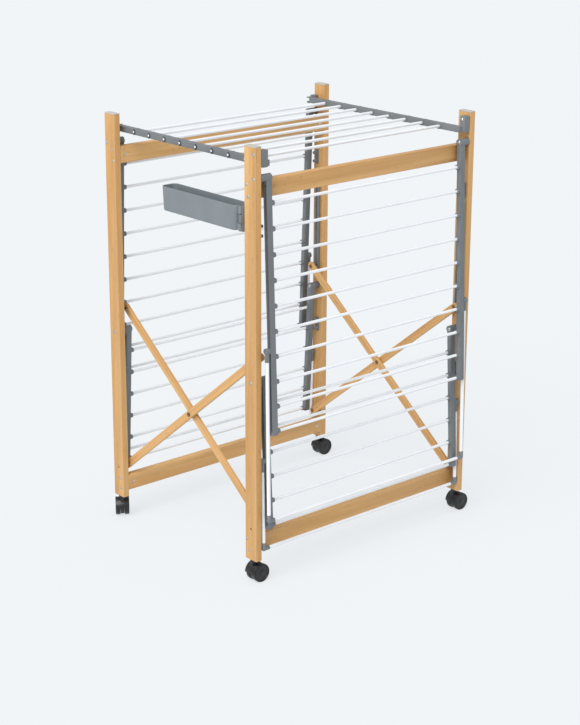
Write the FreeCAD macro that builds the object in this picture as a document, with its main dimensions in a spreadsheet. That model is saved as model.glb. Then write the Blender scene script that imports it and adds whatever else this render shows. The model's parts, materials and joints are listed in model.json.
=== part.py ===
# Folding clothes drying rack: two beech side frames on casters, joined at both ends by
# crossed braces, with a swing-over top panel, four wings, their stays and a peg tray.
# Row frame: +X along the rails, +Y from the near frame to the far frame, +Z up,
# origin on the floor below the middle of the whole rack.
import FreeCAD, Part
import Sketcher
import math
import os
import re

Vector = FreeCAD.Vector
Rotation = FreeCAD.Rotation

# Driving sizes in millimetres and degrees. Each one is a cell of the Sizes sheet.
sizes = {
    # whole rack
    "frameLength": 716,
    "frameDepth": 580,
    "totalHeight": 1075,
    "runningGap": 0.06,
    "cutSpare": 1,
    # posts, caps and rails
    "postThick": 18,
    "postWide": 40,
    "capThick": 3,
    "woodRound": 1.5,
    "railTall": 42,
    "railThick": 20,
    "topRailDrop": 101,
    "bottomRailRise": 38,
    "railScrewRadius": 2,
    "screwHeadStep": 1.8,
    "railScrewBite": 30,
    "railScrewSpread": 28,
    "railScrewStagger": 6,
    "headThick": 1.5,
    "headTaper": 0.6,
    "railPinRadius": 3.5,
    "railPinDepth": 12,
    "railPinInset": 16,
    # crossed braces and their channels
    "braceAngle": 38.4,
    "bracePivotRise": 80,
    "braceWide": 20,
    "braceThick": 9,
    "braceTail": 13,
    "braceRound": 2,
    "bracePinRadius": 3,
    "pinShoulderStep": 3.5,
    "pinHeadStep": 2.5,
    "layerGap": 1,
    "foldedGap": 22,
    "channelWall": 4,
    "channelDeep": 7,
    "channelSlot": 8,
    "channelWeb": 1.5,
    "channelSpare": 16,
    # wings
    "upperPivotDrop": 72,
    "upperPivotInset": 7,
    "lowerPivotDrop": 560.5,
    "lowerPivotInset": 20,
    "upperRods": 10,
    "lowerRods": 6,
    "upperLean": 2.3,
    "lowerLean": 3.2,
    "rodPitch": 61,
    "rodRadius": 3.75,
    "armWide": 16,
    "armDeep": 12,
    "armWall": 2,
    "armTail": 8,
    "bossRadius": 9,
    "postGap": 0.5,
    "socketWall": 2.45,
    "socketLength": 8,
    "pivotRadius": 2.5,
    "pivotHeadStep": 2,
    # stays and the notches that hold them
    "upperStayHinge": 409,
    "lowerStayHinge": 200,
    "upperNotchDrop": 129,
    "lowerNotchDrop": 117.5,
    "upperStandoff": 3,
    "lowerStandoff": 8,
    "upperStayLean": 1,
    "lowerStayLean": 1.5,
    "stayRadius": 4.75,
    "stayBarRadius": 4,
    "staySpace": 0.7,
    "elbowWall": 1.05,
    "barSleeve": 1.4,
    "elbowReach": 16,
    "clipWall": 2.75,
    "clipSet": 0.6,
    "clipReach": 26,
    "notchPlate": 2,
    "notchPegRadius": 4,
    "notchPegReach": 10,
    "notchPegDown": 8,
    "notchPegUp": 15,
    # top panel
    "panelPivotDrop": 16,
    "panelPivotInset": 8,
    "panelRods": 8,
    "panelArmDrop": 24,
    "panelArmTall": 14,
    "panelBlockWide": 21,
    "panelBlockDeep": 16,
    "panelBlockTall": 40,
    "panelBlockRise": 1,
    "panelCollarIn": 1.5,
    "panelCollarOut": 0.7,
    "hookSpace": 0.8,
    "hookWall": 3.2,
    "hookMouth": 9,
    "restPegRadius": 5,
    "restGap": 0.3,
    "restPegSet": 1,
    "restLugTall": 7,
    "restLugSet": 1,
    # peg tray
    "trayLength": 283,
    "trayWide": 46,
    "trayTall": 60,
    "trayTaper": 9,
    "trayWall": 2.2,
    "trayCorner": 12,
    "trayDrop": 139,
    "trayGap": 15,
    "trayPivotOut": 5,
    "trayPivotGap": 8,
    "trayPinRadius": 2,
    "knuckleWall": 2.5,
    "knuckleSet": 1,
    "bracketThick": 3,
    # casters
    "wheelRadius": 23.5,
    "wheelThick": 13,
    "wheelRound": 3,
    "wheelTrail": 13,
    "wheelDish": 0.72,
    "wheelDishDeep": 2,
    "forkThick": 9,
    "forkSideGap": 0.5,
    "forkWebSet": 2,
    "neckSet": 3,
    "crownTall": 13,
    "collarTall": 4,
    "axleRadius": 3,
    "stemRadius": 4,
    "stemLength": 26,
    "flangeStep": 4.5,
    "flangeThick": 2,
    "hoodGap": 1,
    "hoodWall": 1.6,
    "hoodReach": 1.4,
    "hoodMiddle": 1.75,
}

# Places worked out from the sizes, each written once and used by name.
places = {
    "casterHeight": "2 * wheelRadius + crownTall",
    "centreX": "(trayOut - casterOut) / 2",
    "trayOut": "frameLength / 2 - postThick / 2 + trayWide / 2",
    "casterOut": "frameLength / 2 - postThick / 2 + wheelTrail + wheelRadius",
    "postTop": "totalHeight - capThick",
    "postX": "(frameLength - postThick) / 2",
    "postY": "(frameDepth - postWide) / 2",
    "innerX": "frameLength / 2 - postThick",
    "innerY": "frameDepth / 2 - postWide",
    "railY": "frameDepth / 2 - postWide + railThick / 2",
    "topRailZ": "postTop - topRailDrop",
    "bottomRailZ": "casterHeight + bottomRailRise",
    "braceZ": "casterHeight + bracePivotRise",
    "braceLength": "2 * postY / cos(braceAngle * 1deg)",
    "braceTopZ": "braceZ + 2 * postY * tan(braceAngle * 1deg)",
    "foldedReach": "postWide + foldedGap",
    "foldedTopZ": "braceZ + sqrt(braceLength * braceLength - foldedReach * foldedReach)",
    "firstLayer": "innerX - channelDeep - layerGap / 2",
    "secondLayer": "firstLayer - braceThick - layerGap",
    "elbowRadius": "stayRadius + elbowWall",
    "clipRadius": "stayRadius + clipWall",
    "armGap": "notchPlate + 2 * (elbowRadius + staySpace)",
    "armOuter": "innerX - armGap",
    "armInner": "armOuter - armWide",
    "stayX": "(innerX - notchPlate + armOuter) / 2",
    "upperPivotY": "frameDepth / 2 - upperPivotInset",
    "lowerPivotY": "frameDepth / 2 - lowerPivotInset",
    "upperPivotZ": "postTop - upperPivotDrop",
    "lowerPivotZ": "postTop - lowerPivotDrop",
    "upperStay": "sqrt((upperStayHinge - upperStandoff) * (upperStayHinge - upperStandoff)"
                 " + upperNotchDrop * upperNotchDrop)",
    "lowerStay": "sqrt((lowerStayHinge - lowerStandoff) * (lowerStayHinge - lowerStandoff)"
                 " + lowerNotchDrop * lowerNotchDrop)",
    "panelPivotY": "frameDepth / 2 - panelPivotInset",
    "panelPivotZ": "postTop - panelPivotDrop",
    "panelArmZ": "panelPivotZ - panelArmDrop",
    "restPegZ": "panelArmZ - restPegSet",
    "hookRadius": "restPegRadius + hookSpace + hookWall",
    "trayTopZ": "postTop - trayDrop",
    "trayX": "-postX",
    "trayNearY": "-innerY + trayGap",
    "trayPivotX": "-frameLength / 2 - trayPivotOut",
    "trayPivotY": "-innerY + trayPivotGap",
    "trayKnuckle": "trayPinRadius + knuckleWall",
    "forkHalf": "forkThick / 2 + forkSideGap",
    "flangeRadius": "stemRadius + flangeStep",
    "socketOuter": "stemRadius + flangeThick / 2",
    "socketRadius": "rodRadius + socketWall",
    "pivotHead": "pivotRadius + pivotHeadStep",
    "railScrewHead": "railScrewRadius + screwHeadStep",
    "bracePinShoulder": "bracePinRadius + pinShoulderStep",
    "bracePinHead": "bracePinRadius + pinHeadStep",
    "channelWide": "channelSlot + 2 * channelWall",
}

doc = FreeCAD.newDocument("DryingRack")
sheet = doc.addObject("Spreadsheet::Sheet", "Sizes")
for row, (name, amount) in enumerate(sizes.items(), start=1):
    sheet.set(f"A{row}", str(amount))
    sheet.setAlias(f"A{row}", name)
doc.recompute()

nodes = []


def bound(text):
    """Turn a short formula into one that names the sheet's cells."""
    def swap(word):
        name = word.group()
        if name in sizes:
            return "Sizes." + name
        if name in places:
            return "(" + bound(places[name]) + ")"
        return name
    return re.sub(r"[A-Za-z]\w*", swap, str(text))


def value(text):
    """The number that a formula gives now."""
    return float(sheet.evalExpression(bound(text)))


def add(kind, name):
    return doc.addObject(kind, name)


def setPlace(thing, x="0", y="0", z="0"):
    thing.setExpression(".Placement.Base.x", bound(x))
    thing.setExpression(".Placement.Base.y", bound(y))
    thing.setExpression(".Placement.Base.z", bound(z))


def box(wide, deep, tall, x="0", y="0", z="0", name="Block"):
    """A box of the given sizes about the centre x, y, z."""
    block = add("Part::Box", name)
    block.setExpression("Length", bound(wide))
    block.setExpression("Width", bound(deep))
    block.setExpression("Height", bound(tall))
    setPlace(block, f"{x} - ({wide}) / 2", f"{y} - ({deep}) / 2", f"{z} - ({tall}) / 2")
    return block


turns = {
    "X": Rotation(Vector(0, 1, 0), 90),
    "Y": Rotation(Vector(1, 0, 0), -90),
    "Z": Rotation(),
}


def cylinder(radius, start, end, axis="X", x="0", y="0", z="0", name="Round"):
    """A cylinder along an axis from start to end, whose centre line passes through x, y, z."""
    rod = add("Part::Cylinder", name)
    rod.Placement = FreeCAD.Placement(Vector(), turns[axis])
    rod.setExpression("Radius", bound(radius))
    rod.setExpression("Height", bound(f"({end}) - ({start})"))
    middle = {"X": x, "Y": y, "Z": z}
    middle[axis] = start
    setPlace(rod, middle["X"], middle["Y"], middle["Z"])
    return rod


def across(side, radius, near, far, y="0", z="0", name="Round"):
    """A cylinder along X between two distances from the middle, on one side of it."""
    if side < 0:
        return cylinder(radius, f"-({far})", f"-({near})", "X", y=y, z=z, name=name)
    return cylinder(radius, near, far, "X", y=y, z=z, name=name)


def fuse(parts, name="Joined"):
    joined = add("Part::MultiFuse", name)
    joined.Shapes = parts
    joined.Refine = True
    return joined


def cut(base, tools, name="Drilled"):
    """The base less all of the tools."""
    result = add("Part::Cut", name)
    result.Base = base
    result.Tool = tools[0] if len(tools) == 1 else fuse(tools, name + "Tools")
    return result


def group(parts, name="Set"):
    """Separate solids that share one node."""
    together = add("Part::Compound", name)
    together.Links = parts
    return together


def finish(name, thing, y="0", z="0", lean="0"):
    """Make a thing a node: it gets its label and its place in the rack."""
    thing.Label = name
    thing.Placement = FreeCAD.Placement(Vector(), Rotation(Vector(1, 0, 0), 1))
    thing.setExpression(".Placement.Rotation.Angle", bound(lean))
    setPlace(thing, "centreX", y, z)
    nodes.append(thing)
    return thing


nearlyUpright = 0.9
flatEnough = 1e-4


def board(wide, deep, tall, roundness, name="Board"):
    """A planed length of wood standing along Z: a padded rectangle with eased long edges."""
    body = add("PartDesign::Body", name)
    plane = [f for f in body.Origin.OriginFeatures if f.Role == "XY_Plane"][0]
    sketch = body.newObject("Sketcher::SketchObject", name + "Section")
    sketch.AttachmentSupport = [(plane, "")]
    sketch.MapMode = "FlatFace"
    halfWide = value(wide) / 2
    halfDeep = value(deep) / 2
    corners = [(-halfWide, -halfDeep), (halfWide, -halfDeep), (halfWide, halfDeep), (-halfWide, halfDeep)]
    for i in range(4):
        a, b = corners[i], corners[(i + 1) % 4]
        sketch.addGeometry(Part.LineSegment(Vector(a[0], a[1], 0), Vector(b[0], b[1], 0)), False)
    for i in range(4):
        sketch.addConstraint(Sketcher.Constraint("Coincident", i, 2, (i + 1) % 4, 1))
    for i in (0, 2):
        sketch.addConstraint(Sketcher.Constraint("Horizontal", i))
        sketch.addConstraint(Sketcher.Constraint("Vertical", i + 1))
    sketch.addConstraint(Sketcher.Constraint("Symmetric", 0, 1, 1, 2, -1, 1))
    wideAt = sketch.addConstraint(Sketcher.Constraint("DistanceX", 0, 1, 0, 2, 2 * halfWide))
    deepAt = sketch.addConstraint(Sketcher.Constraint("DistanceY", 1, 1, 1, 2, 2 * halfDeep))
    sketch.setExpression(f"Constraints[{wideAt}]", bound(wide))
    sketch.setExpression(f"Constraints[{deepAt}]", bound(deep))
    pad = body.newObject("PartDesign::Pad", name + "Length")
    pad.Profile = sketch
    pad.setExpression("Length", bound(tall))
    doc.recompute()
    long = []
    for i, edge in enumerate(pad.Shape.Edges):
        if abs(edge.tangentAt(edge.FirstParameter).z) > nearlyUpright:
            long.append(f"Edge{i + 1}")
    eased = body.newObject("PartDesign::Fillet", name + "Eased")
    eased.Base = (pad, long)
    eased.setExpression("Radius", bound(roundness))
    body.Tip = eased
    return body


def laid(body, along):
    """Turn a standing board to lie along X or Y."""
    body.Placement = FreeCAD.Placement(Vector(), turns[along])
    return body


def rounded(thing, axis, radius, name="Eased"):
    """Ease the edges of a thing that lie square to an axis."""
    doc.recompute()
    amount = value(radius)
    chosen = []
    for i, edge in enumerate(thing.Shape.Edges):
        spread = getattr(edge.BoundBox, axis + "Max") - getattr(edge.BoundBox, axis + "Min")
        if spread < flatEnough:
            chosen.append((i + 1, amount, amount))
    eased = add("Part::Fillet", name)
    eased.Base = thing
    eased.Edges = chosen
    return eased


frames = [("near", -1), ("far", 1)]
sides = [("left", -1), ("right", 1)]
levels = ["upper", "lower"]


def throughPost(side, radius, y, z):
    """A hole along X through one post, with running room for a shank of the radius."""
    return across(side, f"{radius} + runningGap", "innerX - cutSpare", "frameLength / 2 + cutSpare", y, z)


def screwHoles(face, side):
    """The holes through one post: rail screws, wing pivots, brace pin and top panel pivot."""
    tools = []
    for rail in ("topRailZ", "bottomRailZ"):
        for up in (1, -1):
            y = f"{face} * railY + {up} * railScrewStagger / 2"
            z = f"{rail} + {up} * railScrewSpread / 2"
            tools.append(throughPost(side, "railScrewRadius", y, z))
    for level in levels:
        tools.append(throughPost(side, "pivotRadius", f"{face} * {level}PivotY", f"{level}PivotZ"))
    tools.append(throughPost(side, "bracePinRadius", f"{face} * postY", "braceZ"))
    if face < 0:
        tools.append(throughPost(side, "pivotRadius", "-panelPivotY", "panelPivotZ"))
    tools.append(cylinder("socketOuter + runningGap", "casterHeight - cutSpare",
                          "casterHeight + stemLength + 2 * cutSpare", "Z", f"{side} * postX",
                          f"{face} * postY"))
    return tools


def makePosts(frame, face):
    for name, side in sides:
        post = board("postThick", "postWide", "postTop - casterHeight", "woodRound", "Post")
        setPlace(post, f"{side} * postX", f"{face} * postY", "casterHeight")
        finish(f"{frame}_{name}_post", cut(post, screwHoles(face, side)))
    caps = []
    for name, side in sides:
        cap = board("postThick", "postWide", "capThick", "woodRound", "Cap")
        setPlace(cap, f"{side} * postX", f"{face} * postY", "postTop")
        caps.append(cap)
    finish(f"{frame}_post_caps", group(caps))


def makeRails(frame, face):
    length = "2 * innerX"
    for name in ("top", "bottom"):
        z = f"{name}RailZ"
        rail = laid(board("railTall", "railThick", length, "woodRound", "Rail"), "X")
        setPlace(rail, "-innerX", f"{face} * railY", z)
        tools = []
        for _, side in sides:
            for up in (1, -1):
                y = f"{face} * railY + {up} * railScrewStagger / 2"
                tools.append(across(side, "railScrewRadius + runningGap",
                                    "innerX - railScrewBite - cutSpare", "innerX + cutSpare", y,
                                    f"{z} + {up} * railScrewSpread / 2"))
            tools.append(pinAt(face, side, z, "railPinRadius + runningGap",
                               "railPinDepth + cutSpare / 2"))
        finish(f"{frame}_{name}_rail", cut(rail, tools))
    pins = []
    screws = []
    for name in ("top", "bottom"):
        z = f"{name}RailZ"
        for _, side in sides:
            pins.append(pinAt(face, side, z, "railPinRadius", "railPinDepth"))
            for up in (1, -1):
                y = f"{face} * railY + {up} * railScrewStagger / 2"
                screws.append(screw(side, "railScrewRadius", "railScrewHead", "innerX - railScrewBite", y,
                                    f"{z} + {up} * railScrewSpread / 2"))
    finish(f"{frame}_rail_pins", group(pins))
    finish(f"{frame}_rail_screws", group(screws))


def pinAt(face, side, z, radius, depth):
    """A pin let into a rail's inner face near one end."""
    x = f"{side} * (innerX - railPinInset)"
    if face < 0:
        return cylinder(radius, f"-innerY - ({depth})", "-innerY", "Y", x, "0", z)
    return cylinder(radius, "innerY", f"innerY + ({depth})", "Y", x, "0", z)


def screw(side, radius, head, tip, y, z, tipHead=None):
    """A screw through a post from its outer face: a domed head, a shank, and perhaps a riveted end."""
    outer = "frameLength / 2"
    parts = [across(side, radius, tip, outer + " + headThick / 2", y, z),
             dome(side, head, outer, 1, y, z)]
    if tipHead:
        parts.append(dome(side, tipHead, tip, -1, y, z))
    return fuse(parts)


def dome(side, radius, at, way, y, z):
    """A low domed head on one side, standing out from x = at by headThick."""
    cone = add("Part::Cone", "Head")
    cone.setExpression("Radius1", bound(radius))
    cone.setExpression("Radius2", bound(f"({radius}) * headTaper"))
    cone.setExpression("Height", bound("headThick"))
    turn = 90 if side * way > 0 else -90
    cone.Placement = FreeCAD.Placement(Vector(), Rotation(Vector(0, 1, 0), turn))
    setPlace(cone, f"{side} * ({at})", y, z)
    return cone


def makePivotScrews(frame, face):
    """The long screws that the wings, and on the near frame the top panel, turn on."""
    screws = []
    for _, side in sides:
        for level in levels:
            screws.append(screw(side, "pivotRadius", "pivotHead", "armInner - runningGap",
                                f"{face} * {level}PivotY", f"{level}PivotZ", "pivotHead"))
        if face < 0:
            tip = "innerX - postGap - panelBlockWide - runningGap"
            screws.append(screw(side, "pivotRadius", "pivotHead", tip, "-panelPivotY", "panelPivotZ",
                                "pivotHead"))
    finish(f"{frame}_pivot_screws", group(screws))


def makeChannels(frame, face):
    """Upright channels on the posts' inner faces, in which the braces' upper ends slide."""
    channels = []
    low, high = "braceTopZ - channelSpare", "foldedTopZ + channelSpare"
    for _, side in sides:
        y = f"{face} * postY"
        middle = f"(({high}) + ({low})) / 2"
        outer = box("channelDeep", "channelWide", f"({high}) - ({low})",
                    f"{side} * (innerX - channelDeep / 2)", y, middle)
        slot = box("channelDeep", "channelSlot", f"({high}) - ({low}) - 2 * channelSpare + channelSlot",
                   f"{side} * (innerX - channelWeb - channelDeep / 2)", y, middle)
        channels.append(cut(outer, [slot]))
    finish(f"{frame}_brace_channels", group(channels))


def bracePin(side, layer, y, z):
    """A shouldered pin: in the post, a spacer up to the slat, through the slat and headed."""
    return fuse([
        across(side, "bracePinRadius", f"{layer} - braceThick - layerGap / 4",
               "frameLength / 2 - headThick", y, z),
        across(side, "bracePinShoulder", f"{layer} + runningGap", "innerX", y, z),
        across(side, "bracePinHead", f"{layer} - braceThick - headThick / 2 - layerGap / 4",
               f"{layer} - braceThick - layerGap / 4", y, z),
    ])


def makeNotches(frame, face):
    """Plates on the posts' inner faces, each with two pegs that hold a stay's corner between them."""
    plates = []
    for _, side in sides:
        for level in levels:
            barY = f"{face} * ({level}PivotY + {level}Standoff)"
            barZ = f"({level}PivotZ - {level}NotchDrop)"
            pegY = f"{barY} - {face} * notchPegReach"
            plate = box("notchPlate", "3 * notchPegRadius",
                        "notchPegUp + notchPegDown + 4 * notchPegRadius",
                        f"{side} * (innerX - notchPlate / 2)", pegY,
                        f"{barZ} + (notchPegUp - notchPegDown) / 2")
            pegs = [across(side, "notchPegRadius", "armOuter + 2 * postGap", "innerX - notchPlate / 2",
                           pegY, f"{barZ} {move}") for move in ("- notchPegDown", "+ notchPegUp")]
            plates.append(fuse([plate] + pegs))
        if face > 0:
            plates.append(across(side, "restPegRadius", "armOuter + 2 * postGap", "innerX", "panelPivotY",
                                 "restPegZ"))
    finish(f"{frame}_peg_plates", group(plates))


def makeCasterSockets(frame, face):
    """Flanged sleeves let into the posts' feet, which the casters' stems turn in."""
    sockets = []
    for _, side in sides:
        x, y = f"{side} * postX", f"{face} * postY"
        outer = fuse([
            cylinder("socketOuter", "casterHeight - flangeThick", "casterHeight + stemLength", "Z", x, y),
            cylinder("flangeRadius", "casterHeight - flangeThick", "casterHeight", "Z", x, y)])
        bore = cylinder("stemRadius + runningGap", "casterHeight - flangeThick - cutSpare",
                        "casterHeight + stemLength + cutSpare", "Z", x, y)
        sockets.append(cut(outer, [bore]))
    finish(f"{frame}_caster_sockets", group(sockets))


def makeSlats(name, layer, face, angle):
    """The two slats of one brace, one at each end of the rack, turned about their lower pins."""
    slats = []
    half = "braceWide / 2"
    for _, side in sides:
        x = f"{side} * ({layer} - braceThick / 2)"
        bar = box("braceThick", "braceLength + braceTail - braceWide / 2", "braceWide", x,
                  "(braceLength + braceTail - braceWide / 2) / 2", "0")
        ends = [across(side, half, f"{layer} - braceThick", layer, at, "0")
                for at in ("0", f"braceLength + braceTail - {half}")]
        eased = rounded(fuse([bar] + ends), "X", "braceRound")
        holes = [across(side, "bracePinRadius + runningGap", f"{layer} - braceThick - cutSpare",
                        f"{layer} + cutSpare", at, "0") for at in ("0", "braceLength / 2", "braceLength")]
        slats.append(cut(eased, holes))
    finish(name, group(slats), f"{face} * postY", "braceZ", angle)


def makeBraces():
    """The rising pair is pinned to the near posts, the falling pair to the far posts."""
    makeSlats("rising_brace_slats", "secondLayer", -1, "braceAngle")
    makeSlats("falling_brace_slats", "firstLayer", 1, "180 - braceAngle")
    middleZ = "(braceZ + braceTopZ) / 2"
    rivets = {"rising": [], "falling": []}
    for _, side in sides:
        headed = fuse([
            across(side, "bracePinRadius", "secondLayer - braceThick - layerGap / 4",
                   "firstLayer + layerGap / 4", "0", middleZ),
            across(side, "bracePinHead", "firstLayer + layerGap / 4", "firstLayer + headThick", "0",
                   middleZ),
            across(side, "bracePinHead", "secondLayer - braceThick - headThick / 2 - layerGap / 4",
                   "secondLayer - braceThick - layerGap / 4", "0", middleZ)])
        rivets["rising"].append(headed)
        for kind, layer, face in (("rising", "secondLayer", 1), ("falling", "firstLayer", -1)):
            y = f"{face} * postY"
            rivets[kind].append(fuse([
                across(side, "bracePinRadius", f"{layer} - braceThick - layerGap / 4",
                       "innerX - channelDeep / 2", y, "braceTopZ"),
                across(side, "channelSlot / 2 - 2 * runningGap", "innerX - channelDeep",
                       "innerX - channelWeb - layerGap / 2", y, "braceTopZ"),
                across(side, "bracePinHead", f"{layer} - braceThick - headThick / 2 - layerGap / 4",
                       f"{layer} - braceThick - layerGap / 4", y, "braceTopZ")]))
    for kind in ("rising", "falling"):
        finish(f"{kind}_brace_rivets", group(rivets[kind]))


def makeWing(frame, face, level):
    """One wing, hanging from its pivots: two channel arms with sockets, and the rods in them."""
    count = int(value(f"{level}Rods"))
    lean = f"{face} * {level}Lean"
    pivotY, pivotZ = f"{face} * {level}PivotY", f"{level}PivotZ"
    length = f"rodPitch * {count} + armTail"
    hinge = f"-{level}StayHinge"
    arms = []
    for _, side in sides:
        middle = f"{side} * (armInner + armWide / 2)"
        bar = box("armWide", "armDeep", length, middle, "0", f"-({length}) / 2")
        hollow = box("armWide", "armDeep - 2 * armWall", f"{length} - bossRadius - 2 * armTail",
                     f"{side} * (armInner + armWide / 2 + armWall)", "0",
                     f"-({length}) / 2 - bossRadius / 2")
        boss = across(side, "bossRadius", "armInner", "innerX - postGap")
        stayBoss = across(side, "armDeep / 2 - postGap / 5", "armInner + armWall / 2", "armOuter", "0",
                          hinge)
        sockets = [across(side, "socketRadius", "armInner - socketLength", "armInner + armWall", "0",
                          f"-rodPitch * {i + 1}") for i in range(count)]
        solid = fuse([cut(bar, [hollow]), boss, stayBoss] + sockets)
        bores = [across(side, "rodRadius + runningGap", "armInner - socketLength - cutSpare", "armInner",
                        "0", f"-rodPitch * {i + 1}") for i in range(count)]
        pin = "pivotRadius + runningGap"
        bores.append(across(side, pin, "armInner - cutSpare", "innerX"))
        bores.append(across(side, pin, "armInner - cutSpare", "armOuter + cutSpare", "0", hinge))
        arms.append(cut(solid, bores))
    finish(f"{frame}_{level}_wing_arms", group(arms), pivotY, pivotZ, lean)
    rods = [cylinder("rodRadius", "-armInner", "armInner", "X", z=f"-rodPitch * {i + 1}", name="Rod")
            for i in range(count)]
    finish(f"{frame}_{level}_wing_rods", group(rods), pivotY, pivotZ, lean)


def makeStay(frame, face, level):
    """One stay, hanging from its hinge on the wing: legs and bar in plastic clips and elbows."""
    hinge, length = f"{level}StayHinge", f"{level}Stay"
    y = f"{face} * ({level}PivotY + {hinge} * sin({level}Lean * 1deg))"
    z = f"{level}PivotZ - {hinge} * cos({level}Lean * 1deg)"
    lean = f"{face} * {level}StayLean"
    tubes = [cylinder("stayBarRadius", "-(stayX - elbowRadius)", "stayX - elbowRadius", "X",
                      z=f"-{length}", name="Bar")]
    fittings = []
    for _, side in sides:
        x = f"{side} * stayX"
        tubes.append(cylinder("stayRadius", f"-{length} + elbowRadius", "-clipRadius - cutSpare", "Z", x,
                              name="Leg"))
        clip = fuse([
            across(side, "clipRadius", "armOuter + postGap", "stayX + elbowRadius - clipSet"),
            cylinder("elbowRadius", "-clipReach", "0", "Z", x),
            across(side, "pivotRadius", "armInner - runningGap", "stayX"),
            dome(side, "pivotHead", "armInner - runningGap", -1, "0", "0")])
        grip = cylinder("stayRadius + runningGap", "-clipReach - cutSpare", "-clipRadius - cutSpare",
                        "Z", x)
        fittings.append(cut(clip, [grip]))
        corner = add("Part::Sphere", "Corner")
        corner.setExpression("Radius", bound("elbowRadius"))
        setPlace(corner, x, "0", f"-{length}")
        elbow = fuse([
            corner,
            cylinder("elbowRadius", f"-{length}", f"-{length} + elbowReach", "Z", x),
            across(side, "stayBarRadius + barSleeve", "stayX - elbowReach", "stayX", "0", f"-{length}")])
        bores = [
            cylinder("stayRadius + runningGap", f"-{length} + elbowRadius",
                     f"-{length} + elbowReach + cutSpare", "Z", x),
            across(side, "stayBarRadius + runningGap", "stayX - elbowReach - cutSpare",
                   "stayX - elbowRadius", "0", f"-{length}")]
        fittings.append(cut(elbow, bores))
    finish(f"{frame}_{level}_stay_tubes", group(tubes), y, z, lean)
    finish(f"{frame}_{level}_stay_fittings", group(fittings), y, z, lean)


def makePanel():
    """The top panel: two arms with end blocks and hooks, and the rods between them."""
    count = int(value("panelRods"))
    rodYs = [f"rodPitch * {i - (count - 1) / 2}" for i in range(count)]
    arms = []
    nearY = "-panelPivotY"
    farY = "panelPivotY"
    for _, side in sides:
        middle = f"{side} * (armInner + armWide / 2)"
        blockX = f"{side} * (innerX - postGap - panelBlockWide / 2)"
        bar = box("armWide", "2 * panelPivotY - hookRadius / 2", "panelArmTall", middle,
                  "-hookRadius / 4", "panelArmZ")
        block = box("panelBlockWide", "panelBlockDeep", "panelBlockTall", blockX, nearY,
                    "panelPivotZ + panelBlockDeep / 2 - panelBlockTall / 2 + panelBlockRise")
        hook = across(side, "hookRadius", "armInner + armWall", "armOuter - armWall", farY, "panelArmZ")
        lug = box("armGap - postGap * 4", "panelBlockDeep", "restLugTall",
                  f"{side} * (armOuter + (armGap - postGap * 4) / 2)", farY,
                  "restPegZ + restPegRadius + restGap + restLugTall / 2")
        collars = [across(side, "2 * rodRadius", "armInner - panelCollarIn", "armOuter + panelCollarOut",
                          y, "panelArmZ") for y in rodYs]
        solid = fuse([bar, rounded(block, "X", "panelBlockDeep / 4"), hook, lug] + collars)
        bores = [across(side, "rodRadius + runningGap", "armInner - 2 * panelCollarIn",
                        "armInner + armWall", y, "panelArmZ") for y in rodYs]
        bores.append(across(side, "pivotRadius + runningGap", "armInner - cutSpare", "innerX", nearY,
                            "panelPivotZ"))
        bores.append(across(side, "hookRadius - hookWall", "armInner", "armOuter", farY, "panelArmZ"))
        bores.append(box("armWide", "2 * hookRadius", "hookMouth", middle, f"{farY} + hookRadius",
                         "panelArmZ"))
        arms.append(cut(solid, bores))
    finish("panel_arms", group(arms))
    rods = [cylinder("rodRadius", "-armInner - armWall", "armInner + armWall", "X", y=y, z="panelArmZ",
                     name="Rod") for y in rodYs]
    finish("panel_rods", group(rods))


quarterTurn = math.pi / 2
rimSpare = 0.01


def roundedLoop(halfX, halfY, radius, centreY, z):
    """A closed wire: a rectangle with round corners at height z."""
    edges = []
    corners = [(1, 1), (-1, 1), (-1, -1), (1, -1)]
    centres = [Vector(a * (halfX - radius), centreY + b * (halfY - radius), z) for a, b in corners]
    for i, centre in enumerate(centres):
        circle = Part.Circle(centre, Vector(0, 0, 1), radius)
        edges.append(Part.ArcOfCircle(circle, i * quarterTurn, (i + 1) * quarterTurn).toShape())
    loop = []
    for i, arc in enumerate(edges):
        following = edges[(i + 1) % 4]
        loop.append(arc)
        loop.append(Part.makeLine(arc.Vertexes[-1].Point, following.Vertexes[0].Point))
    return Part.Wire(loop)


def makeTray():
    """The peg tray: a tapered tub on knuckles that turn on a pin at the near left post."""
    halfX, halfY = value("trayWide / 2"), value("trayLength / 2")
    wall, taper = value("trayWall"), value("trayTaper")
    corner, tall = value("trayCorner"), value("trayTall")

    def tub(inset, low, high):
        bottom = roundedLoop(halfX - taper / 3 - inset, halfY - taper - inset, corner - inset, 0, low)
        top = roundedLoop(halfX - inset, halfY - inset, corner - inset, 0, high)
        return Part.makeLoft([bottom, top], True, True)

    hollow = tub(wall, wall, tall + rimSpare)
    shell = tub(0, 0, tall).cut(hollow)
    tubFeature = add("Part::Feature", "TrayTub")
    tubFeature.Shape = shell
    setPlace(tubFeature, "trayX", "trayNearY + trayLength / 2", "trayTopZ - trayTall")
    knuckles = []
    for low, high in (("trayTopZ - trayTall / 3", "trayTopZ"),
                      ("trayTopZ - trayTall", "trayTopZ - 2 * trayTall / 3")):
        middle = f"(({low}) + ({high})) / 2"
        arm = box("trayWide / 3", "trayGap - trayPivotGap + trayTaper + trayCorner / 2",
                  f"({high}) - ({low}) - 2 * knuckleSet", "trayPivotX + trayWide / 6 - trayKnuckle / 2",
                  "(trayPivotY + trayNearY + trayTaper + trayCorner / 2) / 2", middle)
        barrel = cylinder("trayKnuckle", f"{low} + knuckleSet", f"{high} - knuckleSet", "Z",
                          "trayPivotX", "trayPivotY")
        knuckles += [arm, barrel]
    return tubFeature, hollow, knuckles


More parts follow.
